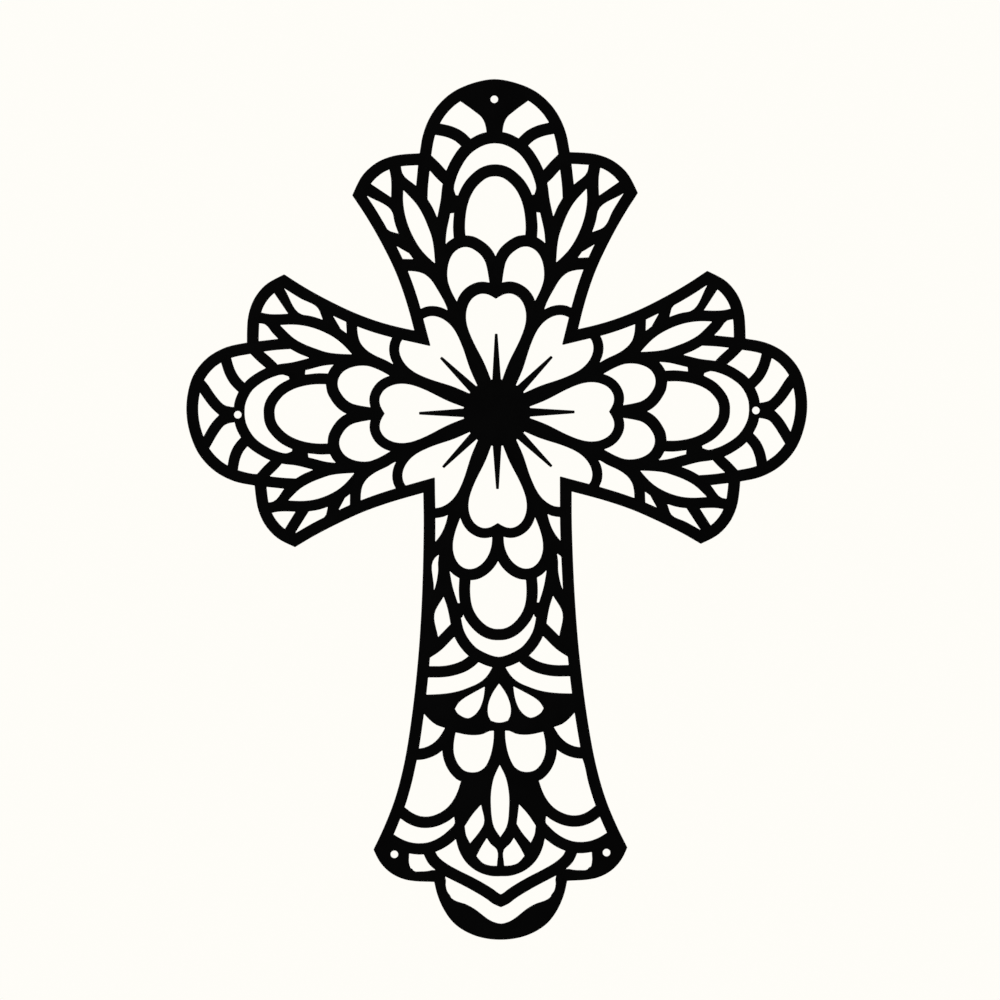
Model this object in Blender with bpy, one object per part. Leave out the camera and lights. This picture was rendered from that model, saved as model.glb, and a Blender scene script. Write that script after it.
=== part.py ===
"""A wall cross cut as a lattice from one flat sheet of iron, coated matt black.

Metres, +Z up. The front looks along -Y. The origin is on the back face, at the middle of the flower, and
the back face is the XZ plane. The lattice is a set of ribs drawn as centre lines on one half of an arm. The
four arms carry the drawing at their own sizes, while the widths of the ribs, the band and the holes stay
as named.
"""

import math

import bmesh
import bpy
from mathutils import Matrix, Vector
from mathutils.geometry import delaunay_2d_cdt

# The sheet and what is cut in it
THICKNESS = 0.002
TOP_RIB = 0.0056
SIDE_RIB = 0.0051
FOOT_RIB = 0.0053
PETAL_RIB = 0.0047
BAND = 0.0055
HOLE_DIAMETER = 0.0035

# How far each arm reaches from the middle of the flower
TOP_REACH = 0.155
SIDE_REACH = 0.1442
FOOT_REACH = 0.245

# The notch beside each rounded end, and the pointed lobe beyond it: (half width, distance out)
TOP_NOTCH = (0.0349, 0.1208)
TOP_LOBE = (0.0664, 0.1015)
SIDE_UPPER_NOTCH = (0.0335, 0.1159)
SIDE_UPPER_LOBE = (0.0651, 0.0983)
SIDE_LOWER_NOTCH = (0.0330, 0.1129)
SIDE_LOWER_LOBE = (0.0618, 0.0943)
FOOT_NOTCH = (0.0309, 0.2179)
FOOT_LOBE = (0.0590, 0.2026)

# The inner corners between the arms: (across, up)
UPPER_CORNER = (0.0381, 0.0385)
LOWER_CORNER = (0.0345, -0.0370)

# The flower
HUB_RADIUS = 0.0156
PETALS = 8
TOP_PETAL = 0.0555
SIDE_PETAL = 0.0547
FOOT_PETAL = 0.0538
STAMEN_REACH = 0.0367
STAMEN_ROOT = 0.0042
STAMEN_POINT = 0.0013
STAMEN_SINK = 0.0016

# Where the screw holes are, out along the arms, and across on the foot
TOP_HOLE = 0.1456
SIDE_HOLE = 0.1204
FOOT_HOLE = (0.0493, 0.2049)

# How finely the cut edges are followed, and the smallest opening that is cut
CURVE_STEP = 0.0022
CHORD_SLACK = 0.00011
CLOSE_POINTS = 0.00012
LEAST_OPENING = 2e-6
SOFT_BEND = 0.85
WELD = 2e-7
HOLE_SIDES = 24
HUB_SIDES = 48

# The ornament is drawn in its own units, (across, out) from the middle of the flower, on the right-hand
# half of an arm. The drawn end, notch and lobe are laid on the real ones, past the zone of the flower.
DRAWN_ARM = {"reach": 333.5, "notch": (75, 260), "lobe": (142.5, 218.5), "petal": 119.5}
DRAWN_FOOT = {"reach": 527.3, "notch": (66.5, 469), "lobe": (127, 436), "petal": 115.7}
UNIT = TOP_PETAL / DRAWN_ARM["petal"]
FLOWER_ZONE = 105.0
BLEND_ZONE = 110.0
BLEND_POWER = 1.5

ARM_FLANK = [(89.2, 110), (99.5, 140), (113.6, 170), (130.2, 199.5), DRAWN_ARM["lobe"]]
ARM_LOBE = [
    DRAWN_ARM["lobe"], (131.5, 239.2), (116.3, 252), (98.2, 258.3), (84, 259.6), DRAWN_ARM["notch"],
]
ARM_END = [
    DRAWN_ARM["notch"], (70.5, 282), (60, 303), (42, 320.5), (22, 329.5), (0, DRAWN_ARM["reach"]),
]

# A bow starts on the middle line and is drawn across it
ARM_BOWS = {
    "outside the crescent": [
        (0, 275.3), (10, 274), (20, 269.5), (29, 262.8), (37.5, 251.2), (43.5, 239), (46.8, 226),
        (48.2, 214), (50.5, 202), (53, 190), (55, 180), (55.8, 168), (54.8, 155), (54.4, 145),
    ],
    "inside the crescent": [
        (0, 242.3), (6, 241.7), (12.7, 239), (18.5, 234.5), (23.7, 229.2), (29.8, 219.2), (34.1, 206.3),
        (35.8, 195), (36.3, 185), (35.5, 172),
    ],
}

ARM_RIBS = {
    "spoke of the round end": [
        (24, 265), (29.5, 271.3), (36, 276.9), (45, 281.2), (56, 283.8), (70, 285.5),
    ],
    "spoke to the notch": [(44, 230), (52.2, 237.4), (59.4, 245.5), (66.5, 252.3), (74, 259)],
    "left of the long leaf": [
        (54.4, 145), (54.8, 154), (55.8, 166), (58.2, 179), (62.8, 191.3), (68, 203.3), (73.7, 212.6),
        (80.9, 221), (87.6, 227.9), (97, 236.5),
    ],
    "right of the long leaf": [
        (54, 132), (57, 137), (64.7, 145.3), (74.4, 154.3), (82.7, 165.1), (88.9, 176.8), (93.6, 188.7),
        (96.2, 199), (97.8, 212), (97.5, 224), (97.8, 236), (100, 248), (103, 262),
    ],
    "stem to the notch": [(73.5, 212), (73, 225), (72.2, 234), (70.8, 246), (70, 264)],
    "branch to the lobe": [
        (96, 203.5), (101.6, 207.4), (107.6, 211.6), (116.6, 217.7), (126.1, 224.2), (140.6, 234),
    ],
    "branch to the flank": [(84, 165.5), (98.5, 174), (116, 181)],
    "foot of the flank": [
        (49.5, 118.5), (54.4, 128.5), (60.3, 137.4), (70, 145.2), (80, 147.9), (92, 148.5), (108, 148.5),
    ],
}

ARM_BANDS = {
    "arch over the twin petal": [
        (0, 128), (2.2, 141), (4.4, 151.8), (9.6, 160.9), (17.2, 167.4), (24, 170.9), (31, 171.8),
        (39.4, 169.5), (47.1, 163.2), (52, 153.7), (54.2, 142), (53.7, 131), (50.9, 122), (47.6, 114.5),
        (43.5, 107), (41, 98),
    ],
}

ARM_FILLS = {
    "tie below the crescent": [
        (34, 201), (45.5, 199.5), (49, 214), (48.5, 228), (41.8, 226.5), (39.2, 218),
        (34.5, 217),
    ],
}

TOP_FILLS = {
    "solid end": [
        (-1, 274), (8, 274), (8, 280.5), (9.5, 289), (12.5, 295), (20, 301.5), (30, 309), (38, 314.5),
        (48, 332), (-1, 345),
    ],
}

SIDE_RIBS = {
    "branch of the round end": [
        (-2, 287), (4.5, 293.7), (11, 300.3), (20, 306.7), (30.5, 313), (40, 321),
    ],
}

SIDE_FILLS = {
    "boss round the hole": [
        (-1, 274), (8, 274), (8, 280.5), (9.3, 288), (12, 294), (6, 297), (-1, 295.5),
    ],
}

FOOT_SIDE = [
    (74.2, 115), (75.9, 165), (78.1, 212), (82.3, 260), (88.6, 310), (95.6, 350), (105.6, 387),
    (116.4, 414), DRAWN_FOOT["lobe"],
]
FOOT_ROUND = [
    DRAWN_FOOT["lobe"], (121, 448), (110, 459.5), (95, 466.5), (80, 468.3), DRAWN_FOOT["notch"],
]
FOOT_END = [
    DRAWN_FOOT["notch"], (64, 480), (58, 495), (47, 510.5), (30, 521.5), (15, 526),
    (0, DRAWN_FOOT["reach"]),
]

FOOT_BOWS = {
    "inside the crescent": [
        (0, 222), (6, 221.6), (14.8, 218), (22.7, 211), (29, 202), (32.7, 191), (33.8, 180), (33, 162),
    ],
    "outside the crescent": [
        (0, 250), (9.6, 248), (17.5, 244.6), (25.4, 240), (33.5, 231.3), (39, 222), (42.3, 211),
        (43.5, 203), (46, 192), (49.9, 180), (52.8, 167), (54.5, 155), (54, 145), (50.5, 132),
    ],
}
CHEVRON = [
    (0, 488.3), (10, 482.2), (20, 475.8), (30, 470.2), (40, 465.2), (50, 459.9), (60.2, 453.5),
    (67.8, 446.3), (72.5, 436),
]

FOOT_RIBS = {
    "arch over the twin petal": [
        (0, 118), (0.6, 132.5), (4, 143.8), (9, 151.8), (15.2, 157.5), (22.8, 161.2), (30.4, 161.8),
        (37.3, 159.8), (43.8, 154.6), (48.3, 147), (50.7, 137), (50.1, 126), (47, 114), (42.5, 102),
        (40, 93),
    ],
    "branch above the narrow leaf": [(43.5, 100), (48.3, 116.7), (53.3, 126), (59.4, 133.7), (72, 145)],
    "branch below the narrow leaf": [(54.2, 156), (55.8, 168), (59, 179.3), (64, 189), (73, 205)],
    "branch below the diamond": [
        (42, 213), (47, 218.5), (51.7, 223.2), (56.8, 228.2), (63.2, 234.2), (73, 240.5),
    ],
    "upper swag": [(22, 243), (26.5, 247.5), (34.5, 253), (44, 256.5), (55, 258.5), (66, 258.6), (84, 259)],
    "lower twin arch": [
        (0, 310), (0.2, 326), (2, 338), (5.3, 349), (11.7, 359.5), (20.5, 364.5), (28.3, 365.3),
        (38.5, 362.6), (45.3, 356), (49.3, 348.6), (51.4, 341), (51.6, 332), (48.5, 314),
    ],
    "bracket": [(46.5, 312), (52.1, 322.3), (57, 329.2), (64.8, 336), (74, 340), (92, 341.5)],
    "great shell": [
        (30, 364), (33.5, 370), (36, 378), (41, 388.8), (48.3, 398.3), (57.5, 404.8), (69.5, 408.9),
        (81, 408.6), (90.7, 404.6), (98.3, 399), (108, 391),
    ],
    "lower swag": [
        (39.5, 412), (44.4, 418), (51.6, 424.9), (61.3, 431.2), (71.7, 435), (82, 435.8), (93.5, 434),
        (103, 430), (118, 420),
    ],
}

FOOT_FILLS = {
    "tie above the crescent": [
        (31, 190.5), (41.3, 190), (47, 195), (43, 207), (36.5, 204.5), (35, 201), (32, 203),
    ],
    "belt": [
        (-1, 250), (5, 250), (6.5, 254.5), (10, 260.5), (14, 265.5), (20, 270), (30, 274.5), (40, 278),
        (50, 280), (60, 281), (73, 281.5), (92, 281.5), (90, 292), (75.5, 300.5), (70, 306.5), (63, 312),
        (54.5, 315), (44.5, 319.5), (38, 320.8), (31, 322.2), (24, 322.5), (16, 321.3), (10, 318.5),
        (4.5, 318), (-1, 320),
    ],
    "flank": [(67, 192), (64, 200.5), (62.5, 210), (60.7, 222), (60, 232), (68, 240), (84, 242), (80, 192)],
    "fan": [
        (-1, 340), (15, 358), (30, 362), (38.5, 367.5), (41, 376), (46, 386), (52, 394), (51, 402),
        (46, 404.5), (45.3, 415), (44.5, 426.5), (43, 433), (40, 441), (35, 449), (29, 455),
        (22, 459.5), (14, 462.5), (8, 463.7), (-1, 463.8),
    ],
    "tip round the hole": [
        (91.3, 433), (91.3, 451), (90, 455), (86, 458), (90, 475), (135, 470), (135, 425),
    ],
    "solid end": [
        (-1, 511.3), (4, 510.5), (10, 506.5), (20, 500.5), (30, 494), (36, 491), (44, 488.5), (49, 485.5),
        (53, 481), (72, 476), (72, 535), (-1, 545),
    ],
}

# Openings cut in the solid parts, each as the curves between its corners
FOOT_CUTS = {
    "side drop": [
        [
            (14.3, 274), (29, 282), (41, 290.5), (44.3, 296), (38.5, 302.8), (31, 305.3), (23, 300.5),
            (16.5, 288), (14.3, 274),
        ],
    ],
    "fan leaf": [
        [(19, 392), (27, 401), (35.5, 413.5)],
        [(35.5, 413.5), (34, 423), (30.3, 430.5)],
        [(30.3, 430.5), (22, 420.5), (16.5, 411.5)],
        [(16.5, 411.5), (18, 400), (19, 392)],
    ],
    "fan eye": [
        [(13.5, 425.5), (19, 434), (24, 443.5)],
        [(24, 443.5), (17.5, 450.5), (10, 453), (3.7, 453.3)],
        [(3.7, 453.3), (3.7, 437)],
        [(3.7, 437), (10, 431), (13.5, 425.5)],
    ],
    "cell beside the hole": [
        [(66, 456.5), (72, 457.8), (80, 458.3), (87, 457.5), (91, 452)],
        [(91, 452), (84, 451), (75, 452), (66, 456.5)],
    ],
    "cell below the chevron": [
        [(49, 484.8), (53, 479.5), (55, 472), (54.6, 466.5)],
        [(54.6, 466.5), (50, 470), (47, 478), (49, 484.8)],
    ],
}
FOOT_MIDDLE_CUTS = {
    "middle drop": [(0, 271), (5, 278), (9.8, 288), (11.5, 299), (8.5, 308), (0, 310)],
    "fan stem": [(0, 352.3), (5.5, 364), (8.8, 380), (8.8, 398), (6, 415), (0, 424.5)],
}

# Half of one heart-shaped petal, upright on the hub: the line of its rib, on the petal's own edge
PETAL_EDGE = [
    (5, 31.3), (9.3, 43.1), (19.3, 64.1), (26.3, 79.1), (29.9, 93), (29.1, 104), (23.8, 114.2),
    (15.5, 118.9), (7.5, 118.1), (0, 113.8),
]


def straight_between(value, stops):
    """The height at value of the broken line through stops, a list of (place, height)."""
    for (low, at_low), (high, at_high) in zip(stops, stops[1:]):
        if value <= high:
            return at_low + (at_high - at_low) * (value - low) / (high - low)
    return stops[-1][1]


class HalfArm:
    """One half of one arm: it lays the drawing's points on the sheet."""

    def __init__(self, drawn, reach, notch, lobe, petal, to_sheet):
        """The last five say where the drawn end, notch, lobe and petal come to lie on the sheet."""
        self.to_sheet = to_sheet
        self.zone = FLOWER_ZONE * petal / drawn["petal"]
        marks = (0, drawn["reach"]), drawn["notch"], drawn["lobe"]
        self.spread = [(across, real) for (across, _), (real, _) in zip(marks, ((0.0, reach), notch, lobe))]
        self.stretch = [
            (across, (real - self.zone) / ((out - FLOWER_ZONE) * UNIT))
            for (across, out), real in zip(marks, (reach, notch[1], lobe[1]))
        ]

    def place(self, point):
        """The sheet's (across, up) of a point of the drawing, given as (across, out)."""
        side, across, out = math.copysign(1, point[0]), abs(point[0]), point[1]
        if out < FLOWER_ZONE:
            real_out = self.zone * out / FLOWER_ZONE
        else:
            real_out = self.zone + (out - FLOWER_ZONE) * UNIT * straight_between(across, self.stretch)
        blend = min(max((out - FLOWER_ZONE) / BLEND_ZONE, 0.0), 1.0) ** BLEND_POWER
        spread = straight_between(across, self.spread)
        if across > self.spread[-1][0]:
            spread *= across / self.spread[-1][0]
        real_across = side * (across * UNIT * (1 - blend) + spread * blend)
        return self.to_sheet(real_across, real_out)

    def lay(self, points):
        return [self.place(point) for point in points]


def half_arms():
    """The right-hand halves of the sheet, from the top down."""
    top = TOP_REACH, TOP_NOTCH, TOP_LOBE, TOP_PETAL
    upper = SIDE_REACH, SIDE_UPPER_NOTCH, SIDE_UPPER_LOBE, SIDE_PETAL
    lower = SIDE_REACH, SIDE_LOWER_NOTCH, SIDE_LOWER_LOBE, SIDE_PETAL
    down = FOOT_REACH, FOOT_NOTCH, FOOT_LOBE, FOOT_PETAL
    return (
        HalfArm(DRAWN_ARM, *top, lambda across, out: Vector((across, out))),
        HalfArm(DRAWN_ARM, *upper, lambda across, out: Vector((out, across))),
        HalfArm(DRAWN_ARM, *lower, lambda across, out: Vector((out, -across))),
        HalfArm(DRAWN_FOOT, *down, lambda across, out: Vector((across, -out))),
    )


def smooth(points):
    """A smooth line through the points, in steps of about CURVE_STEP."""
    points = [Vector(point) for point in points]
    if len(points) == 2:
        return points
    before = points[0] * 2 - points[1]
    after = points[-1] * 2 - points[-2]
    run = [before, *points, after]
    line = [points[0]]
    for p0, p1, p2, p3 in zip(run, run[1:], run[2:], run[3:]):
        span = (p2 - p1).length
        back, ahead = (p1 - p0).length, (p3 - p2).length
        leave = ((p1 - p0) / back * span + (p2 - p1) / span * back) / (back + span)
        arrive = ((p2 - p1) / span * ahead + (p3 - p2) / ahead * span) / (ahead + span)
        steps = max(1, round(span / CURVE_STEP))
        for step in range(1, steps + 1):
            t = step / steps
            line.append(
                p1 * (1 + 2 * t) * (1 - t) ** 2
                + leave * (span * t * (1 - t) ** 2)
                + p2 * (3 - 2 * t) * t**2
                - arrive * (span * t**2 * (1 - t))
            )
    return line


def directions(line):
    return [(after - before).normalized() for before, after in zip(line, line[1:])]


def to_right(way):
    return Vector((way.y, -way.x))


def offset(line, distance):
    """The line moved to its right by the distance, each point square to the line there."""
    ways = directions(line)
    ways = [ways[0], *((before + after).normalized() for before, after in zip(ways, ways[1:])), ways[-1]]
    return [point + to_right(way) * distance for point, way in zip(line, ways)]


def area(ring):
    return sum(a.x * b.y - b.x * a.y for a, b in zip(ring, ring[1:] + ring[:1])) / 2


def upright(ring):
    """The ring, turned to run anticlockwise."""
    return ring if area(ring) > 0 else ring[::-1]


def mirrored(ring):
    return [Vector((-point.x, point.y)) for point in ring]


def ribbon(line, width, first=0):
    """The pieces of a rib of this width along the line, from its point first on.

    Each step has two triangles, which can't cross themselves in a tight bend, and each sharp corner a kite.
    """
    ways = directions(line)
    starts = [to_right(way) * width / 2 for way in ways]
    ends = list(starts)
    pieces = []
    for index, (before, after) in enumerate(zip(ways, ways[1:])):
        middle = (before + after).normalized()
        mitre = to_right(middle) * width / 2 / middle.dot(before)
        if before.dot(after) > SOFT_BEND:
            ends[index] = starts[index + 1] = mitre
        elif index + 1 >= first:
            outer = math.copysign(1, before.x * after.y - before.y * after.x)
            corner = line[index + 1]
            sides = ends[index], mitre, starts[index + 1]
            pieces.append([corner, *(corner + side * outer for side in sides)])
    for start, end, at_start, at_end in list(zip(line, line[1:], starts, ends))[first:]:
        right, far_right, far_left, left = start + at_start, end + at_end, end - at_end, start - at_start
        pieces += [[right, far_right, far_left], [right, far_left, left]]
    return [upright(piece) for piece in pieces]


def disc(centre, radius, sides):
    turns = [2 * math.pi * side / sides for side in range(sides)]
    return [centre + Vector((math.cos(turn), math.sin(turn))) * radius for turn in turns]


def petal_length(turn):
    """Petals turned towards the top, the sides and the foot have their own lengths."""
    up = math.cos(turn)
    other = TOP_PETAL if up > 0 else FOOT_PETAL
    return SIDE_PETAL + (other - SIDE_PETAL) * abs(up)


def flower():
    """The hub, and round it the ribs and the stamen of each heart-shaped petal."""
    pieces = [disc(Vector((0, 0)), HUB_RADIUS, HUB_SIDES)]
    for index in range(PETALS):
        turn = 2 * math.pi * index / PETALS
        length = petal_length(turn)
        unit = length / DRAWN_ARM["petal"]
        edge = smooth([Vector(point) * unit for point in PETAL_EDGE])
        reach = STAMEN_REACH * length / TOP_PETAL
        root = HUB_RADIUS - STAMEN_SINK
        stamen = [
            Vector((-STAMEN_ROOT / 2, root)),
            Vector((STAMEN_ROOT / 2, root)),
            Vector((STAMEN_POINT / 2, reach)),
            Vector((-STAMEN_POINT / 2, reach)),
        ]
        rib = TOP_RIB if index == 0 else PETAL_RIB
        half = ribbon(offset(edge, rib / 2), rib)
        spin = Matrix.Rotation(-turn, 2)
        for piece in [*half, *map(mirrored, half), stamen]:
            pieces.append(upright([spin @ point for point in piece]))
    return pieces


def outline(top, upper, lower, foot):
    """The sheet's outer edge from the middle of the top, clockwise, and back to it."""
    top_end = top.lay(ARM_END)
    foot_end = foot.lay(FOOT_END)
    upper_corner, lower_corner = Vector(UPPER_CORNER), Vector(LOWER_CORNER)
    round_top = smooth([*mirrored(top_end), *top_end[-2::-1]])
    round_foot = smooth([*foot_end, *mirrored(foot_end[-2::-1])])
    right = [
        smooth(top.lay(ARM_LOBE)[::-1]),
        smooth([*top.lay(ARM_FLANK)[::-1], upper_corner]),
        smooth([upper_corner, *upper.lay(ARM_FLANK)]),
        smooth(upper.lay(ARM_LOBE)),
        smooth([*upper.lay(ARM_END), *lower.lay(ARM_END)[-2::-1]]),
        smooth(lower.lay(ARM_LOBE)[::-1]),
        smooth([*lower.lay(ARM_FLANK)[::-1], lower_corner]),
        smooth([lower_corner, *foot.lay(FOOT_SIDE)]),
        smooth(foot.lay(FOOT_ROUND)),
    ]
    middle = len(round_top) // 2
    right = [round_top[middle:], *right, round_foot[: len(round_foot) // 2 + 1]]
    down = [point for stretch in right for point in stretch[:-1]] + [right[-1][-1]]
    return down + mirrored(down[-2::-1])


def ribs_of(arm, ribs, width):
    return [piece for points in ribs.values() for piece in ribbon(smooth(arm.lay(points)), width)]


def bow(arm, points, width):
    """The right-hand half of a rib that crosses the middle line, cut square on it."""
    left = [(-across, out) for across, out in points[:0:-1]]
    line = smooth(arm.lay([*left, *points]))
    return ribbon(line, width, first=len(line) // 2)


def bows_of(arm, bows, width):
    return [piece for points in bows.values() for piece in bow(arm, points, width)]


def fills_of(arm, fills):
    return [upright(arm.lay(points)) for points in fills.values()]


def lattice(top, upper, lower, foot):
    """What the metal is made of on the right-hand side: the arms' ribs and solid parts."""
    metal = []
    for arm, rib in ((top, TOP_RIB), (upper, SIDE_RIB), (lower, SIDE_RIB)):
        metal += bows_of(arm, ARM_BOWS, rib) + ribs_of(arm, ARM_RIBS, rib)
        metal += ribs_of(arm, ARM_BANDS, BAND) + fills_of(arm, ARM_FILLS)
    metal += fills_of(top, TOP_FILLS)
    for arm in (upper, lower):
        metal += ribs_of(arm, SIDE_RIBS, SIDE_RIB) + fills_of(arm, SIDE_FILLS)
    metal += bows_of(foot, FOOT_BOWS, FOOT_RIB) + bow(foot, CHEVRON, BAND)
    return metal + ribs_of(foot, FOOT_RIBS, FOOT_RIB) + fills_of(foot, FOOT_FILLS)


def openings(foot):
    """The openings cut in the solid parts of the foot, on its right-hand side and its middle."""
    beside = [
        upright([point for curve in curves for point in smooth(foot.lay(curve))[:-1]])
        for curves in FOOT_CUTS.values()
    ]
    middle = []
    for points in FOOT_MIDDLE_CUTS.values():
        half = smooth(foot.lay(points))
        middle.append(upright(half + mirrored(half[-2:0:-1])))
    return beside, middle


def screw_holes():
    centres = [(0, TOP_HOLE), (SIDE_HOLE, 0), (-SIDE_HOLE, 0)]
    centres += [(side * FOOT_HOLE[0], -FOOT_HOLE[1]) for side in (-1, 1)]
    return [disc(Vector(centre), HOLE_DIAMETER / 2, HOLE_SIDES) for centre in centres]


def triangulate(rings):
    """Triangles over the rings: the points, and each triangle's corners and the rings that it lies in."""
    points, faces = [], []
    for ring in rings:
        faces.append(list(range(len(points), len(points) + len(ring))))
        points += ring
    found = delaunay_2d_cdt(points, [], faces, 0, WELD, True)
    return found[0], found[2], found[5]


def goes_round(ring, point):
    """Whether the point lies inside the ring."""
    inside = False
    for a, b in zip(ring, ring[1:] + ring[:1]):
        if (a.y > point.y) != (b.y > point.y):
            inside ^= point.x < a.x + (b.x - a.x) * (point.y - a.y) / (b.y - a.y)
    return inside


def edges_of_metal(edge, metal, cuts):
    """The closed rings that bound the metal, each with the metal on its left.

    The triangulation can put a triangle in a ring far away from it, so each is tested by its middle.
    """
    shapes = [edge, *metal, *cuts]
    corners, triangles, inside = triangulate(shapes)
    first_cut = 1 + len(metal)
    sides = set()
    for triangle, rings in zip(triangles, inside):
        if 0 not in rings:
            continue
        middle = sum((corners[index] for index in triangle), Vector((0, 0))) / 3
        kinds = {ring < first_cut for ring in rings if ring and goes_round(shapes[ring], middle)}
        if kinds == {True}:
            sides.update(zip(triangle, triangle[1:] + triangle[:1]))
    leads = {}
    for start, end in sorted(sides):
        if (end, start) not in sides:
            leads.setdefault(start, []).append(end)
    rings = []
    while leads:
        start = next(iter(leads))
        ring = [start]
        while True:
            ends = leads[ring[-1]]
            ring.append(ends.pop())
            if not ends:
                del leads[ring[-2]]
            if ring[-1] == start:
                break
        rings.append([corners[index] for index in ring[:-1]])
    return rings


def thin_out(line, slack):
    """The line without the points that lie within the slack of a straight run."""
    start, end = line[0], line[-1]
    run = end - start
    if len(line) < 3:
        return line
    if run.length < WELD:
        away = [(point - start).length for point in line]
    else:
        away = [abs(run.x * (point - start).y - run.y * (point - start).x) / run.length for point in line]
    farthest = max(range(1, len(line) - 1), key=away.__getitem__)
    if away[farthest] < slack:
        return [start, end]
    return thin_out(line[: farthest + 1], slack)[:-1] + thin_out(line[farthest:], slack)


def tidy(ring):
    """The ring with only the points that its shape needs."""
    spaced = []
    for point in ring:
        if not spaced or (point - spaced[-1]).length > CLOSE_POINTS:
            spaced.append(point)
    if len(spaced) < 4:
        return []
    start = max(range(len(spaced)), key=lambda index: (spaced[index] - spaced[0]).length)
    first = thin_out(spaced[: start + 1], CHORD_SLACK)
    second = thin_out([*spaced[start:], spaced[0]], CHORD_SLACK)
    return first[:-1] + second[:-1]


def apart(rings):
    """The rings without any corner that one of them has already, so that no two edges meet in a point."""
    taken, parted = set(), []
    for ring in rings:
        kept = []
        for point in ring:
            spot = round(point.x / WELD), round(point.y / WELD)
            if spot not in taken:
                taken.add(spot)
                kept.append(point)
        parted.append(kept)
    return parted


def sheet_mesh(rings):
    """The flat sheet inside the rings, thickened from its front face to its back face."""
    corners, triangles, inside = triangulate([upright(ring) for ring in rings])
    build = bmesh.new()
    front = [build.verts.new((point.x, -THICKNESS, point.y)) for point in corners]
    back = [build.verts.new((point.x, 0, point.y)) for point in corners]
    sides = set()
    for triangle, found in zip(triangles, inside):
        if list(found) == [0]:
            build.faces.new([front[index] for index in triangle])
            build.faces.new([back[index] for index in triangle[::-1]])
            sides.update(zip(triangle, triangle[1:] + triangle[:1]))
    for start, end in sorted(sides):
        if (end, start) not in sides:
            build.faces.new([front[start], back[start], back[end], front[end]])
    bmesh.ops.delete(build, geom=[vert for vert in build.verts if not vert.link_faces], context="VERTS")
    mesh = bpy.data.meshes.new("cross_plate")
    build.to_mesh(mesh)
    build.free()
    return mesh


def black_coat():
    material = bpy.data.materials.new("black_powder_coat")
    material.use_nodes = True
    shader = material.node_tree.nodes["Principled BSDF"]
    shader.inputs["Base Color"].default_value = (0.012, 0.012, 0.013, 1)
    shader.inputs["Roughness"].default_value = 0.6
    shader.inputs["Metallic"].default_value = 0.0
    return material


def main():
    for obj in list(bpy.data.objects):
        bpy.data.objects.remove(obj, do_unlink=True)
    arms = half_arms()
    edge = outline(*arms)
    right = lattice(*arms)
    beside, middle = openings(arms[-1])
    metal = ribbon(edge, 2 * BAND) + flower() + right + [upright(mirrored(piece)) for piece in right]
    cuts = beside + [upright(mirrored(ring)) for ring in beside] + middle + screw_holes()
    rings = [tidy(ring) for ring in edges_of_metal(upright(edge[:-1]), metal, cuts)]
    rings = sorted((ring for ring in rings if abs(area(ring)) > LEAST_OPENING), key=area, reverse=True)
    plate = bpy.data.objects.new("cross_plate", sheet_mesh(apart(rings)))
    plate.data.materials.append(black_coat())
    bpy.context.scene.collection.objects.link(plate)


main()
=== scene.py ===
"""Looks of a wall cross pierced from one flat sheet of iron and coated matt black.

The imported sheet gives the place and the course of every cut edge. The sheet is built anew from them with
finer edges, softly rounded arrises and a thin coat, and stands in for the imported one. Metres, +Z up: the
front looks along -Y, and the back lies on the wall plane y = 0.
"""

import logging
import math
from dataclasses import dataclass, field
from enum import Enum

import bmesh
import bpy
from mathutils import Matrix, Vector
from mathutils.geometry import delaunay_2d_cdt


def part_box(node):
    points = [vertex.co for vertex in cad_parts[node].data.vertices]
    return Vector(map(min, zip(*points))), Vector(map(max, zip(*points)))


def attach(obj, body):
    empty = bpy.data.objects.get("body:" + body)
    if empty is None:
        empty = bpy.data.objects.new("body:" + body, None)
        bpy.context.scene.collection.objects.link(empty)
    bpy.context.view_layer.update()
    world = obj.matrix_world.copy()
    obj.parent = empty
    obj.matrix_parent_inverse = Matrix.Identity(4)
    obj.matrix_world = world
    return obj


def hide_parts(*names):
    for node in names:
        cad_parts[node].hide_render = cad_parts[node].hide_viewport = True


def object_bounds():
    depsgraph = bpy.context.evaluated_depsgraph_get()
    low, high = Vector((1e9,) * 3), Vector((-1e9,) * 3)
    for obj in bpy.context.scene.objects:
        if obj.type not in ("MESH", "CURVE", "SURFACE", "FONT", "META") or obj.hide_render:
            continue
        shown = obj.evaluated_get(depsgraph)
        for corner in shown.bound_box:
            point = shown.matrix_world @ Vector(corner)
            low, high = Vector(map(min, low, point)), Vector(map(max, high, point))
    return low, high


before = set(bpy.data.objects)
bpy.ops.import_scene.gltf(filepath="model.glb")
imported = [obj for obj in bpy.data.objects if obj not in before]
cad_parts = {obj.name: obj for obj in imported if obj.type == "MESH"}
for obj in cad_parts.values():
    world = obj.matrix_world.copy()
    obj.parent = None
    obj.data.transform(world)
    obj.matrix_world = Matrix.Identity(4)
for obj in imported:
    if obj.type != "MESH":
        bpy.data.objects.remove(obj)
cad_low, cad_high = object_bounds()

Colour = tuple[float, float, float, float]
Ring = list[Vector]
Level = list[bmesh.types.BMVert]
Socket = bpy.types.NodeSocket

BODY = "root"
PACKED_SHEET = "cross_plate"
ARRIS_MASK = "arris"
SAME_PLACE = 1e-7
PLACE_DIGITS = 7
SHARPEST_MITRE = 0.5
MOST_UNTANGLINGS = 12

log = logging.getLogger("wall_cross")


class Corner(Enum):
    """Which way a corner of a cut edge points."""

    TIP = "metal ends in the corner"
    NOTCH = "an opening ends in the corner"


class LampRole(Enum):
    """What a studio lamp is there for."""

    OVERHEAD = "lights the upper edges and the back"
    SIDE = "draws the cut edges"


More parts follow.
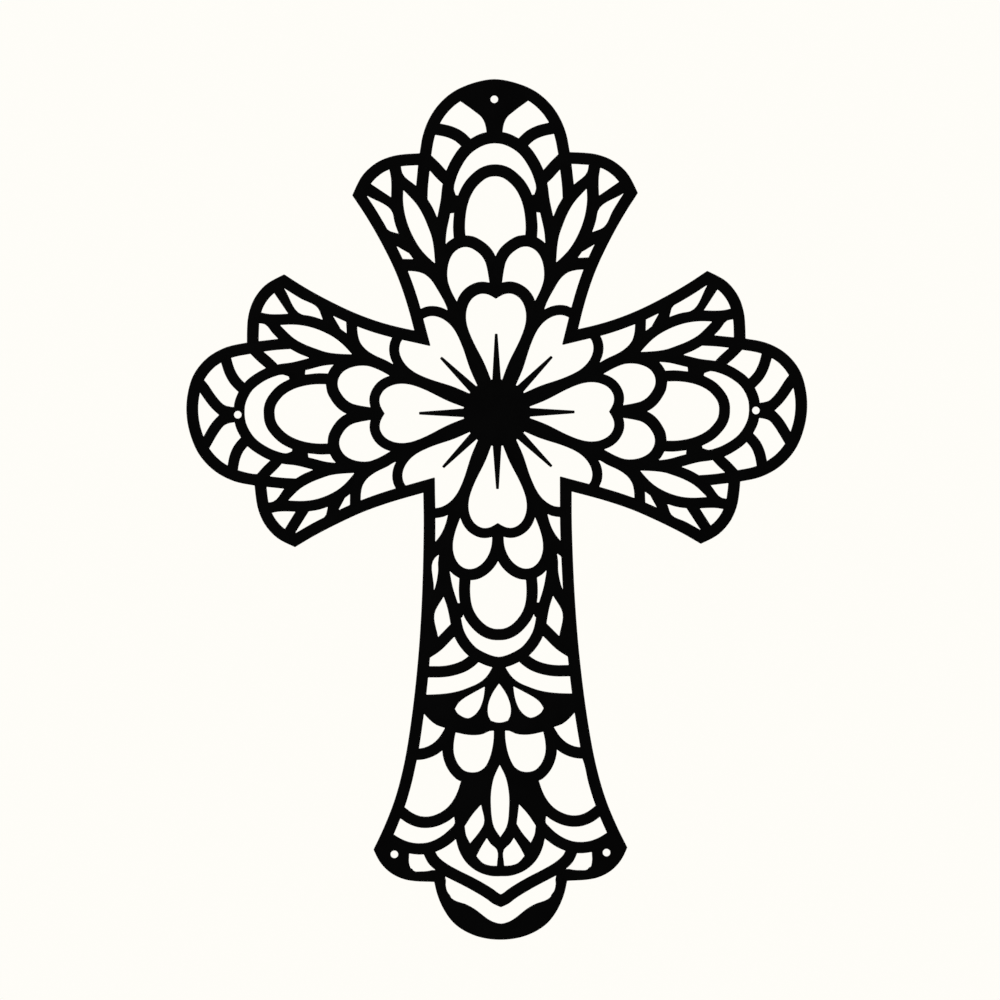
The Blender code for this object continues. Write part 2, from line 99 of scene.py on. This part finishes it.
def turn_at(before: Vector, point: Vector, after: Vector) -> float:
    """How far a path turns at a point.

    Args:
        before: The point before it.
        point: The point itself.
        after: The point after it.

    Returns:
        The turn in radians, above zero to the left.
    """
    come, leave = point - before, after - point
    return math.atan2(come.x * leave.y - come.y * leave.x, come.dot(leave))


def to_left(way: Vector) -> Vector:
    """The direction a quarter turn to the left of a way."""
    return Vector((-way.y, way.x))


def area(ring: Ring) -> float:
    """The area inside a ring, below zero where it runs clockwise."""
    return sum(a.x * b.y - b.x * a.y for a, b in zip(ring, ring[1:] + ring[:1])) / 2


@dataclass(frozen=True)
class EdgeDetail:
    """How the cut edges are drawn: lengths in metres, turns in radians, the rest as shares."""

    sharp: float = math.radians(48)
    soft: float = math.radians(20)
    stands_out: float = 2.2
    finest_turn: float = math.radians(9)
    longest_step: float = 0.0022
    tip_round: float = 0.00042
    notch_round: float = 0.00016
    corner_turn: float = math.radians(24)
    corner_share: float = 0.45
    closest: float = 0.00006


@dataclass
class CutEdge:
    """One closed cut edge, with the metal on its left."""

    points: Ring
    detail: EdgeDetail = field(default_factory=EdgeDetail)

    def turns(self) -> list[float]:
        """The turns of the edge.

        Returns:
            The turn at each point.
        """
        points = self.points
        onward = points[1:] + points[:1]
        return [turn_at(points[at - 1], point, onward[at]) for at, point in enumerate(points)]

    def corners(self) -> list[int]:
        """Which points are true corners, and not steps of a smooth bend.

        Returns:
            The places of the corners, in order.
        """
        turns = [abs(turn) for turn in self.turns()]
        found = []
        for at, turn in enumerate(turns):
            beside = max(turns[at - 1], turns[(at + 1) % len(turns)])
            lone = turn > self.detail.soft and turn > self.detail.stands_out * beside
            if lone or turn > self.detail.sharp:
                found.append(at)
        return found

    def run(self, line: Ring, closed: bool) -> Ring:
        """A smooth line through the points of a run.

        Args:
            line: The run's points.
            closed: Whether its end leads smoothly into its start.

        Returns:
            The line with its in-between points.
        """
        if len(line) < 3:
            return self.split(line)
        first = line[-2] if closed else line[0] * 2 - line[1]
        last = line[1] if closed else line[-1] * 2 - line[-2]
        course = [first, *line, last]
        done = [line[0]]
        for before, start, end, after in zip(course, course[1:], course[2:], course[3:]):
            span, back, ahead = (end - start).length, (start - before).length, (after - end).length
            way = (end - start) / span
            leave = ((start - before) / back * span + way * back) / (back + span)
            arrive = (way * ahead + (after - end) / ahead * span) / (ahead + span)
            bend = abs(turn_at(before, start, end)) + abs(turn_at(start, end, after))
            by_bend, by_span = bend / 2 / self.detail.finest_turn, span / self.detail.longest_step
            steps = max(round(by_bend), math.ceil(by_span), 1)
            for step in range(1, steps + 1):
                part = step / steps
                done.append(
                    start * (1 + 2 * part) * (1 - part) ** 2
                    + leave * (span * part * (1 - part) ** 2)
                    + end * (3 - 2 * part) * part**2
                    - arrive * (span * part**2 * (1 - part))
                )
        return done

    def split(self, line: Ring) -> Ring:
        """A straight run cut into steps no longer than the longest one.

        Args:
            line: The run's two ends.

        Returns:
            The run's points, with both ends.
        """
        start, end = line[0], line[-1]
        steps = max(1, math.ceil((end - start).length / self.detail.longest_step))
        return [start.lerp(end, step / steps) for step in range(steps + 1)]

    def rounded(self, before: Vector, corner: Vector, after: Vector) -> Ring:
        """A corner with its point taken off by a small arc.

        Args:
            before: A point back along the edge, which the arc doesn't pass.
            corner: The corner's point.
            after: A point on along the edge, which the arc doesn't pass.

        Returns:
            The arc's points, in the edge's order.
        """
        turn = turn_at(before, corner, after)
        kind = Corner.TIP if turn > 0 else Corner.NOTCH
        radius = self.detail.tip_round if kind is Corner.TIP else self.detail.notch_round
        back, ahead = before - corner, after - corner
        room = min(back.length, ahead.length) * self.detail.corner_share
        reach = min(radius * math.tan(abs(turn) / 2), room)
        start = corner + back.normalized() * reach
        radius = reach / math.tan(abs(turn) / 2)
        side = math.copysign(1, turn)
        centre = start + to_left(-back.normalized()) * radius * side
        steps = max(2, math.ceil(abs(turn) / self.detail.corner_turn))
        spoke = start - centre
        return [centre + Matrix.Rotation(turn * step / steps, 2) @ spoke for step in range(steps + 1)]

    def smooth(self) -> Ring:
        """The edge as smooth runs between rounded corners.

        Returns:
            The finished ring.
        """
        corners = self.corners()
        if not corners:
            return self.spaced(self.run([*self.points, self.points[0]], closed=True)[:-1])
        runs = []
        for at, start in enumerate(corners):
            end = corners[(at + 1) % len(corners)]
            count = (end - start) % len(self.points) or len(self.points)
            line = [self.points[(start + step) % len(self.points)] for step in range(count + 1)]
            runs.append(self.run(line, closed=False))
        ring: Ring = []
        for run_before, run_after in zip(runs[-1:] + runs[:-1], runs):
            ring += self.rounded(run_before[-2], run_after[0], run_after[1])
            ring += run_after[1:-1]
        return self.spaced(ring)

    def spaced(self, ring: Ring) -> Ring:
        """The ring without points that nearly coincide.

        Args:
            ring: The ring.

        Returns:
            The points that stay.
        """
        kept = [ring[0]]
        for point in ring[1:]:
            if (point - kept[-1]).length > self.detail.closest:
                kept.append(point)
        if (kept[-1] - kept[0]).length <= self.detail.closest:
            kept.pop()
        return kept


def inward(ring: Ring, depth: float) -> Ring:
    """A ring moved into the metal.

    Args:
        ring: The ring, with the metal on its left.
        depth: How far it moves.

    Returns:
        The moved ring, point for point. Points that would pass each other meet instead.
    """
    moved = []
    for before, point, after in zip(ring[-1:] + ring[:-1], ring, ring[1:] + ring[:1]):
        come, leave = (point - before).normalized(), (after - point).normalized()
        middle = (come + leave).normalized()
        moved.append(point + to_left(middle) * depth / max(middle.dot(come), SHARPEST_MITRE))
    for _ in range(MOST_UNTANGLINGS):
        crossed = [
            at
            for at in range(len(ring))
            if (moved[at] - moved[at - 1]).dot(ring[at] - ring[at - 1]) < 0
        ]
        if not crossed:
            break
        for at in crossed:
            meet = (moved[at] + moved[at - 1]) / 2
            moved[at], moved[at - 1] = meet.copy(), meet.copy()
    return moved


@dataclass(frozen=True)
class ArrisRound:
    """The small round that the coat leaves on an arris."""

    radius: float
    steps: int

    def levels(self) -> list[tuple[float, float]]:
        """How far each ring lies in from the wall and down from the face, from the face to the wall."""
        turns = [math.pi / 2 * step / self.steps for step in range(self.steps + 1)]
        return [(self.radius * (1 - math.sin(turn)), self.radius * (1 - math.cos(turn))) for turn in turns]


@dataclass
class PiercedSheet:
    """The sheet with its cut edges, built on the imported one."""

    packed: str = PACKED_SHEET
    front: ArrisRound = ArrisRound(radius=0.00034, steps=3)
    back: ArrisRound = ArrisRound(radius=0.00022, steps=2)

    def packed_edges(self) -> list[CutEdge]:
        """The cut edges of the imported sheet, read round its front face.

        Returns:
            The edges, each with the metal on its left as seen from the front.
        """
        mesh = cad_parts[self.packed].data
        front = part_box(self.packed)[0].y
        places: dict[tuple[float, float], int] = {}
        corners: list[Vector] = []
        sides: set[tuple[int, int]] = set()
        for face in mesh.polygons:
            spots = [mesh.vertices[at].co for at in face.vertices]
            if any(abs(spot.y - front) > SAME_PLACE for spot in spots):
                continue
            ring = []
            for spot in spots:
                key = (round(spot.x, PLACE_DIGITS), round(spot.z, PLACE_DIGITS))
                if key not in places:
                    places[key] = len(corners)
                    corners.append(Vector((spot.x, spot.z)))
                ring.append(places[key])
            sides.update(zip(ring, ring[1:] + ring[:1]))
        leads = {start: end for start, end in sides if (end, start) not in sides}
        edges = []
        while leads:
            start = min(leads)
            ring = [start]
            while ring[-1] in leads:
                ring.append(leads.pop(ring[-1]))
            edges.append(CutEdge([corners[at] for at in ring[:-1]]))
        return edges

    def cap(self, build: bmesh.types.BMesh, rings: list[Ring], verts: list[Level], front: bool) -> None:
        """Closes a flat face of the sheet between its innermost rings.

        Args:
            build: The mesh in the making.
            rings: The rings in the plane of the face.
            verts: The vertices that stand on them.
            front: Whether it is the front face.
        """
        points = [point for ring in rings for point in ring]
        stands = [vert for ring in verts for vert in ring]
        faces, first = [], 0
        for ring in rings:
            course = list(range(first, first + len(ring)))
            faces.append(course if area(ring) > 0 else course[::-1])
            first += len(ring)
        outer = max(range(len(rings)), key=lambda at: area(rings[at]))
        found = delaunay_2d_cdt(points, [], faces, 0, SAME_PLACE, True)
        for triangle, owners in zip(found[2], found[5]):
            if list(owners) != [outer]:
                continue
            if all(found[3][at] for at in triangle):
                corners = [stands[found[3][at][0]] for at in triangle]
                build.faces.new(corners if front else corners[::-1])

    def inside_box(self, point: Vector, low: Vector, high: Vector) -> Vector:
        """The point of a ring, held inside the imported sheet's box."""
        return Vector((min(max(point.x, low.x), high.x), min(max(point.y, low.z), high.z)))

    def mesh(self) -> bpy.types.Mesh:
        """The sheet's mesh, with a mask that is one on the arrises and none on the flats. The coat is
        lighter where the mask is high, partly a thinner coat and partly a painted highlight along the
        edges.

        Returns:
            The mesh.
        """
        low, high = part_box(self.packed)
        rings = [edge.smooth() for edge in self.packed_edges()]
        build = bmesh.new()
        mask = build.verts.layers.float.new(ARRIS_MASK)
        courses: list[tuple[float, float, float]] = []
        for depth, drop in self.front.levels():
            courses.append((depth, low.y + drop, 1 - depth / self.front.radius))
        for depth, drop in reversed(self.back.levels()):
            courses.append((depth, high.y - drop, 1 - depth / self.back.radius))
        stacks: list[list[Level]] = []
        flats: dict[bool, list[Ring]] = {True: [], False: []}
        for ring in rings:
            stack = []
            for at, (depth, height, highlight_and_thin_coat_share) in enumerate(courses):
                moved = inward(ring, depth) if depth > 0 else ring
                moved = [self.inside_box(point, low, high) for point in moved]
                level = []
                for point in moved:
                    vert = build.verts.new((point.x, height, point.y))
                    # The mask rises from the face to the wall. The coat lightens by it, a painted rim
                    # highlight as well as a thinner coat.
                    vert[mask] = highlight_and_thin_coat_share
                    level.append(vert)
                stack.append(level)
                if at in (0, len(courses) - 1):
                    flats[at == 0].append(moved)
            stacks.append(stack)
            for above, below in zip(stack, stack[1:]):
                for a, b, c, d in zip(above, below, below[1:] + below[:1], above[1:] + above[:1]):
                    build.faces.new((a, b, c, d)).smooth = True
        self.cap(build, flats[True], [stack[0] for stack in stacks], front=True)
        self.cap(build, flats[False], [stack[-1] for stack in stacks], front=False)
        bmesh.ops.remove_doubles(build, verts=build.verts, dist=SAME_PLACE)
        mesh = bpy.data.meshes.new("pierced_sheet")
        build.to_mesh(mesh)
        build.free()
        return mesh

    def make(self, finish: bpy.types.Material) -> bpy.types.Object:
        """Builds the sheet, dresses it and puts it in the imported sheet's place.

        Args:
            finish: The coat.

        Returns:
            The finished piece.
        """
        sheet = bpy.data.objects.new("pierced_sheet", self.mesh())
        bpy.context.scene.collection.objects.link(sheet)
        sheet.data.materials.append(finish)
        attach(sheet, BODY)
        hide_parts(self.packed)
        return sheet


def new_group(name: str, inputs: dict[str, float], outputs: dict[str, str]) -> bpy.types.ShaderNodeTree:
    """An empty shader group with its sockets.

    Args:
        name: The group's name.
        inputs: The number inputs and what they start at.
        outputs: The outputs and their socket types.

    Returns:
        The group, with one input node and one output node.
    """
    group = bpy.data.node_groups.new(name, "ShaderNodeTree")
    for label, value in inputs.items():
        socket = group.interface.new_socket(label, in_out="INPUT", socket_type="NodeSocketFloat")
        socket.default_value = value
    for label, kind in outputs.items():
        group.interface.new_socket(label, in_out="OUTPUT", socket_type=kind)
    group.nodes.new("NodeGroupInput").name = "in"
    group.nodes.new("NodeGroupOutput").name = "out"
    return group


def add_math(
    tree: bpy.types.NodeTree, operation: str, first: Socket | float, second: Socket | float
) -> Socket:
    """A Math node on two numbers or sockets.

    Args:
        tree: The tree it goes in.
        operation: The node's operation.
        first: A number or a socket.
        second: A number or a socket.

    Returns:
        The node's result.
    """
    node = tree.nodes.new("ShaderNodeMath")
    node.operation = operation
    for socket, value in zip(node.inputs, (first, second)):
        if isinstance(value, bpy.types.NodeSocket):
            tree.links.new(value, socket)
        else:
            socket.default_value = value
    return node.outputs[0]


def object_place(tree: bpy.types.NodeTree) -> Socket:
    """The place on the piece, in metres."""
    return tree.nodes.new("ShaderNodeTexCoord").outputs["Object"]


@dataclass(frozen=True)
class Noise:
    """How a noise looks: the width of one blotch in metres, its finer layers and how strong they are."""

    size: float
    detail: float
    rough: float

    def add(self, tree: bpy.types.NodeTree, place: Socket) -> Socket:
        """Adds the noise to a tree.

        Args:
            tree: The tree it goes in.
            place: The socket of the coordinates, in metres.

        Returns:
            The noise, from 0 to 1.
        """
        node = tree.nodes.new("ShaderNodeTexNoise")
        tree.links.new(place, node.inputs["Vector"])
        node.inputs["Scale"].default_value = 1 / self.size
        node.inputs["Detail"].default_value = self.detail
        node.inputs["Roughness"].default_value = self.rough
        return node.outputs["Fac"]


@dataclass(frozen=True)
class OrangePeel:
    """The fine pebbled skin of a coat that was baked on."""

    pebble: Noise = Noise(size=0.0011, detail=2.0, rough=0.55)
    grit: Noise = Noise(size=0.00032, detail=1.0, rough=0.5)
    blotch: Noise = Noise(size=0.021, detail=3.0, rough=0.6)
    pebble_share: float = 0.7
    grit_share: float = 0.3

    def group(self) -> bpy.types.ShaderNodeTree:
        """Builds the shader group.

        Returns:
            A group that puts out the skin's height from 0 to 1 and a blotch mask.
        """
        outputs = {"Height": "NodeSocketFloat", "Blotch": "NodeSocketFloat"}
        group = new_group("orange_peel", {"Grain": 1.0}, outputs)
        place = object_place(group)
        pebble = self.pebble.add(group, place)
        grit = add_math(group, "MULTIPLY", self.grit.add(group, place), group.nodes["in"].outputs["Grain"])
        coarse = add_math(group, "MULTIPLY", pebble, self.pebble_share)
        fine = add_math(group, "MULTIPLY", grit, self.grit_share)
        height = add_math(group, "ADD", coarse, fine)
        group.links.new(height, group.nodes["out"].inputs["Height"])
        group.links.new(self.blotch.add(group, place), group.nodes["out"].inputs["Blotch"])
        return group


@dataclass(frozen=True)
class CutLines:
    """The fine lines that a cutting jet leaves across the thickness, on the walls of the cuts alone."""

    line: Noise = Noise(size=0.0004, detail=1.5, rough=0.6)
    squeeze: tuple[float, float, float] = (1.0, 0.06, 1.0)
    flat_above: float = 0.45
    wall_below: float = 0.1

    def group(self) -> bpy.types.ShaderNodeTree:
        """Builds the shader group.

        Returns:
            A group that puts out the lines' height and a mask of the walls.
        """
        outputs = {"Height": "NodeSocketFloat", "Wall": "NodeSocketFloat"}
        group = new_group("cut_lines", {"Depth": 1.0}, outputs)
        parts = group.nodes.new("ShaderNodeSeparateXYZ")
        group.links.new(group.nodes.new("ShaderNodeNewGeometry").outputs["True Normal"], parts.inputs[0])
        wall = group.nodes.new("ShaderNodeMapRange")
        wall.inputs["From Min"].default_value = self.flat_above
        wall.inputs["From Max"].default_value = self.wall_below
        group.links.new(add_math(group, "ABSOLUTE", parts.outputs["Y"], 0.0), wall.inputs["Value"])
        drawn_out = group.nodes.new("ShaderNodeMapping")
        drawn_out.inputs["Scale"].default_value = self.squeeze
        group.links.new(object_place(group), drawn_out.inputs["Vector"])
        lines = self.line.add(group, drawn_out.outputs["Vector"])
        on_walls = add_math(group, "MULTIPLY", lines, wall.outputs["Result"])
        height = add_math(group, "MULTIPLY", on_walls, group.nodes["in"].outputs["Depth"])
        group.links.new(height, group.nodes["out"].inputs["Height"])
        group.links.new(wall.outputs["Result"], group.nodes["out"].inputs["Wall"])
        return group


@dataclass(frozen=True)
class PowderCoat:
    """Matt black powder coat, lighter on its arrises and cut walls: partly a thinner coat, partly a
    painted highlight that draws the edges and the thickness.
    """

    name: str = "matt_black_powder_coat"
    black: Colour = (0.0036, 0.0032, 0.0033, 1.0)
    # Lighter black for the arrises and cut walls: partly a thinner coat, partly a painted highlight.
    thin_coat_and_highlight: Colour = (0.018, 0.0172, 0.0170, 1.0)
    roughness: tuple[float, float] = (0.42, 0.58)
    blotch_range: tuple[float, float] = (0.3, 0.7)
    gloss: float = 0.3
    skin: float = 0.00004
    grain: float = 1.0
    cut_depth: float = 0.8
    patchiness: float = 1.5
    # How far the cut walls lighten as a whole: a painted highlight on the walls as well as a thinner coat.
    wall_highlight_and_thin_coat: float = 0.45

    def material(self) -> bpy.types.Material:
        """Builds the coat's material.

        Returns:
            The material.
        """
        material = bpy.data.materials.new(self.name)
        material.use_nodes = True
        tree = material.node_tree
        shader = tree.nodes["Principled BSDF"]
        shader.inputs["Metallic"].default_value = 0.0
        shader.inputs["Specular IOR Level"].default_value = self.gloss
        peel = tree.nodes.new("ShaderNodeGroup")
        peel.node_tree = OrangePeel().group()
        peel.inputs["Grain"].default_value = self.grain
        lines = tree.nodes.new("ShaderNodeGroup")
        lines.node_tree = CutLines().group()
        lines.inputs["Depth"].default_value = self.cut_depth
        arris = tree.nodes.new("ShaderNodeAttribute")
        arris.attribute_name = ARRIS_MASK
        # Lighter arrises and cut walls: a painted rim highlight as well as a thinner coat, made patchy by
        # the blotch noise.
        patchy = add_math(tree, "POWER", peel.outputs["Blotch"], self.patchiness)
        arris_highlight_and_thin_coat = add_math(tree, "MULTIPLY", arris.outputs["Fac"], patchy)
        on_walls = add_math(tree, "MULTIPLY", lines.outputs["Wall"], self.wall_highlight_and_thin_coat)
        thin_coat_and_highlight = add_math(tree, "MAXIMUM", arris_highlight_and_thin_coat, on_walls)
        colour = tree.nodes.new("ShaderNodeMix")
        colour.data_type = "RGBA"
        colour.inputs["A"].default_value = self.black
        colour.inputs["B"].default_value = self.thin_coat_and_highlight
        tree.links.new(thin_coat_and_highlight, colour.inputs["Factor"])
        tree.links.new(colour.outputs["Result"], shader.inputs["Base Color"])
        rough = tree.nodes.new("ShaderNodeMapRange")
        rough.inputs["From Min"].default_value, rough.inputs["From Max"].default_value = self.blotch_range
        rough.inputs["To Min"].default_value, rough.inputs["To Max"].default_value = self.roughness
        tree.links.new(peel.outputs["Blotch"], rough.inputs["Value"])
        tree.links.new(rough.outputs["Result"], shader.inputs["Roughness"])
        bump = tree.nodes.new("ShaderNodeBump")
        bump.inputs["Distance"].default_value = self.skin
        bump.inputs["Strength"].default_value = 1.0
        height = add_math(tree, "ADD", peel.outputs["Height"], lines.outputs["Height"])
        tree.links.new(height, bump.inputs["Height"])
        tree.links.new(bump.outputs["Normal"], shader.inputs["Normal"])
        return material


@dataclass(frozen=True)
class FloorPaint:
    """Pale matt paint of the studio floor, which thins out into the paper-white ground far away."""

    name: str = "pale_floor_paint"
    light: Colour = (0.58, 0.572, 0.547, 1.0)
    shade: Colour = (0.555, 0.547, 0.523, 1.0)
    roughness: float = 0.9
    mottle: Noise = Noise(size=0.18, detail=3.0, rough=0.5)
    full_to: float = 0.7
    gone_at: float = 2.5

    def material(self) -> bpy.types.Material:
        """Builds the floor's material.

        Returns:
            The material.
        """
        material = bpy.data.materials.new(self.name)
        material.use_nodes = True
        tree = material.node_tree
        shader = tree.nodes["Principled BSDF"]
        shader.inputs["Roughness"].default_value = self.roughness
        place = object_place(tree)
        colour = tree.nodes.new("ShaderNodeMix")
        colour.data_type = "RGBA"
        colour.inputs["A"].default_value = self.light
        colour.inputs["B"].default_value = self.shade
        tree.links.new(self.mottle.add(tree, place), colour.inputs["Factor"])
        tree.links.new(colour.outputs["Result"], shader.inputs["Base Color"])
        away = tree.nodes.new("ShaderNodeVectorMath")
        away.operation = "LENGTH"
        tree.links.new(place, away.inputs[0])
        fade = tree.nodes.new("ShaderNodeMapRange")
        fade.interpolation_type = "SMOOTHERSTEP"
        fade.inputs["From Min"].default_value = self.full_to
        fade.inputs["From Max"].default_value = self.gone_at
        fade.inputs["To Min"].default_value = 1.0
        fade.inputs["To Max"].default_value = 0.0
        tree.links.new(away.outputs["Value"], fade.inputs["Value"])
        tree.links.new(fade.outputs["Result"], shader.inputs["Alpha"])
        return material


@dataclass(frozen=True)
class SkyLight:
    """Even light from high above, for a floor that is as bright far off as it is near."""

    name: str = "sky_light"
    strength: float = 2.9
    spread: float = math.radians(40)
    tilt: float = math.radians(8)
    place: tuple[float, float, float] = (0.0, 0.5, 3.0)

    def hang(self) -> bpy.types.Object:
        """Makes the light, tilted so that it comes from a little behind the sheet.

        Returns:
            The light's object.
        """
        data = bpy.data.lights.new(self.name, "SUN")
        data.energy = self.strength
        data.angle = self.spread
        light = bpy.data.objects.new(self.name, data)
        light.rotation_euler = (-self.tilt, 0.0, 0.0)
        light.location = self.place
        bpy.context.scene.collection.objects.link(light)
        return light


@dataclass(frozen=True)
class Lamp:
    """A soft square lamp that looks at the sheet's middle."""

    name: str
    role: LampRole
    place: tuple[float, float, float]
    width: float
    watts: float

    def hang(self, target: Vector) -> bpy.types.Object:
        """Makes the lamp.

        Args:
            target: What it looks at.

        Returns:
            The lamp's object.
        """
        data = bpy.data.lights.new(self.name, "AREA")
        data.shape = "SQUARE"
        data.size = self.width
        data.energy = self.watts
        lamp = bpy.data.objects.new(self.name, data)
        lamp.location = self.place
        lamp.rotation_euler = (target - Vector(self.place)).to_track_quat("-Z", "Y").to_euler()
        bpy.context.scene.collection.objects.link(lamp)
        return lamp


@dataclass
class Studio:
    """Plain pale room light, a pale floor under the hanging cross, and soft lamps."""

    paper: Colour = (0.996, 0.982, 0.935, 1.0)
    room: Colour = (0.03, 0.03, 0.03, 1.0)
    floor_drop: float = 0.16
    floor_radius: float = 2.6
    floor_sides: int = 96
    sky: SkyLight = SkyLight()
    lamps: tuple[Lamp, ...] = (
        Lamp("overhead_lamp", LampRole.OVERHEAD, place=(0.0, 1.3, 2.0), width=1.4, watts=40.0),
        Lamp("left_lamp", LampRole.SIDE, place=(-2.0, -0.25, 0.4), width=1.2, watts=16.0),
        Lamp("right_lamp", LampRole.SIDE, place=(2.0, -0.2, 0.7), width=1.2, watts=11.0),
    )

    def light_room(self) -> None:
        """Gives the room its paper-white ground and a dim even light."""
        world = bpy.data.worlds.new("paper_ground")
        bpy.context.scene.world = world
        world.use_nodes = True
        tree = world.node_tree
        tree.nodes.clear()
        seen = tree.nodes.new("ShaderNodeLightPath").outputs["Is Camera Ray"]
        mix = tree.nodes.new("ShaderNodeMixShader")
        tree.links.new(seen, mix.inputs[0])
        for socket, colour in ((mix.inputs[1], self.room), (mix.inputs[2], self.paper)):
            ground = tree.nodes.new("ShaderNodeBackground")
            ground.inputs["Color"].default_value = colour
            tree.links.new(ground.outputs[0], socket)
        tree.links.new(mix.outputs[0], tree.nodes.new("ShaderNodeOutputWorld").inputs["Surface"])

    def lay_floor(self, paint: bpy.types.Material) -> bpy.types.Object:
        """Lays a round floor below the cross.

        Args:
            paint: The floor's finish.

        Returns:
            The floor.
        """
        build = bmesh.new()
        bmesh.ops.create_circle(
            build, cap_ends=True, segments=self.floor_sides, radius=self.floor_radius
        )
        mesh = bpy.data.meshes.new("studio_floor")
        build.to_mesh(mesh)
        build.free()
        floor = bpy.data.objects.new("studio_floor", mesh)
        floor.location.z = cad_low.z - self.floor_drop
        floor.visible_glossy = False
        floor.visible_diffuse = False
        mesh.materials.append(paint)
        bpy.context.scene.collection.objects.link(floor)
        return floor

    def make(self, paint: bpy.types.Material) -> None:
        """Sets up the whole studio.

        Args:
            paint: The floor's finish.
        """
        self.light_room()
        self.lay_floor(paint)
        self.sky.hang()
        middle = (cad_low + cad_high) / 2
        for lamp in self.lamps:
            lamp.hang(middle)
            log.info("%s: %s", lamp.name, lamp.role.value)


@dataclass
class PhotoCamera:
    """A long lens straight in front, framed as in the photograph."""

    photo_side: float = 1000.0
    hub_across: float = 496.84
    hub_down: float = 412.56
    cross_tall: float = 860.8
    lean: float = math.radians(0.47)
    distance: float = 6.0
    sensor: float = 36.0

    def make(self) -> bpy.types.Object:
        """Makes the camera and gives it to the scene.

        Returns:
            The camera.
        """
        metre_per_pixel = (cad_high.z - cad_low.z) / self.cross_tall
        right = Vector((math.cos(self.lean), 0.0, -math.sin(self.lean)))
        up = Vector((math.sin(self.lean), 0.0, math.cos(self.lean)))
        back = right.cross(up)
        half = self.photo_side / 2
        middle = (right * (half - self.hub_across) - up * (half - self.hub_down)) * metre_per_pixel
        data = bpy.data.cameras.new("photo_camera")
        data.sensor_width = self.sensor
        data.lens = self.sensor * self.distance / (self.photo_side * metre_per_pixel)
        data.clip_end = 3 * self.distance
        camera = bpy.data.objects.new("photo_camera", data)
        place = middle + Vector((0.0, cad_low.y, 0.0)) + back * self.distance
        turn = Matrix((right, up, back)).transposed().to_4x4()
        camera.matrix_world = Matrix.Translation(place) @ turn
        bpy.context.scene.collection.objects.link(camera)
        bpy.context.scene.camera = camera
        return camera


def main() -> None:
    """Builds the sheet, the studio and the camera, in that order."""
    logging.basicConfig(level=logging.INFO, format="%(message)s")
    bpy.context.scene.view_settings.view_transform = "Standard"
    sheet = PiercedSheet().make(PowderCoat().material())
    log.info("%s: %d faces, rides on %s", sheet.name, len(sheet.data.polygons), BODY)
    Studio().make(FloorPaint().material())
    PhotoCamera().make()


if __name__ == "__main__":
    main()
